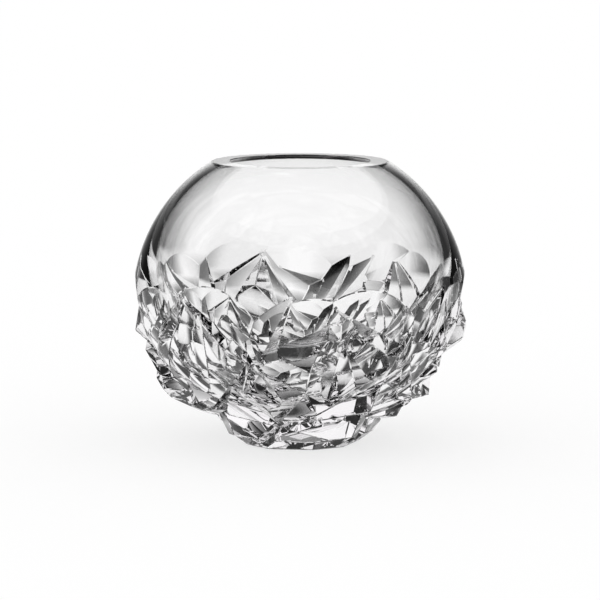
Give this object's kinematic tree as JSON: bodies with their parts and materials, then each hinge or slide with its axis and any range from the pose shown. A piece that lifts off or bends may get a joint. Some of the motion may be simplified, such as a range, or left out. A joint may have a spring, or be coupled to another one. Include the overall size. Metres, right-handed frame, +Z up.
{
  "type": "globe vase",
  "caption": "Heavy clear glass globe vase with a wide flat-ground mouth, thick wall, small flat base and crossing mitre cuts round its lower half.",
  "frame": {"origin": "middle of the flat base, where the vase stands", "axes": "+Z up through the middle of the mouth; the vase is round, so X and Y are free and only the uneven cuts tell them apart"},
  "size_m": [0.1475, 0.1484, 0.126],
  "materials": {
    "crystal": "clear crystal, fire-polished globe, bright polished cuts, ground and polished rim and base"
  },
  "bodies": {
    "root": {"glass_body": "crystal"}
  },
  "joints": []
}
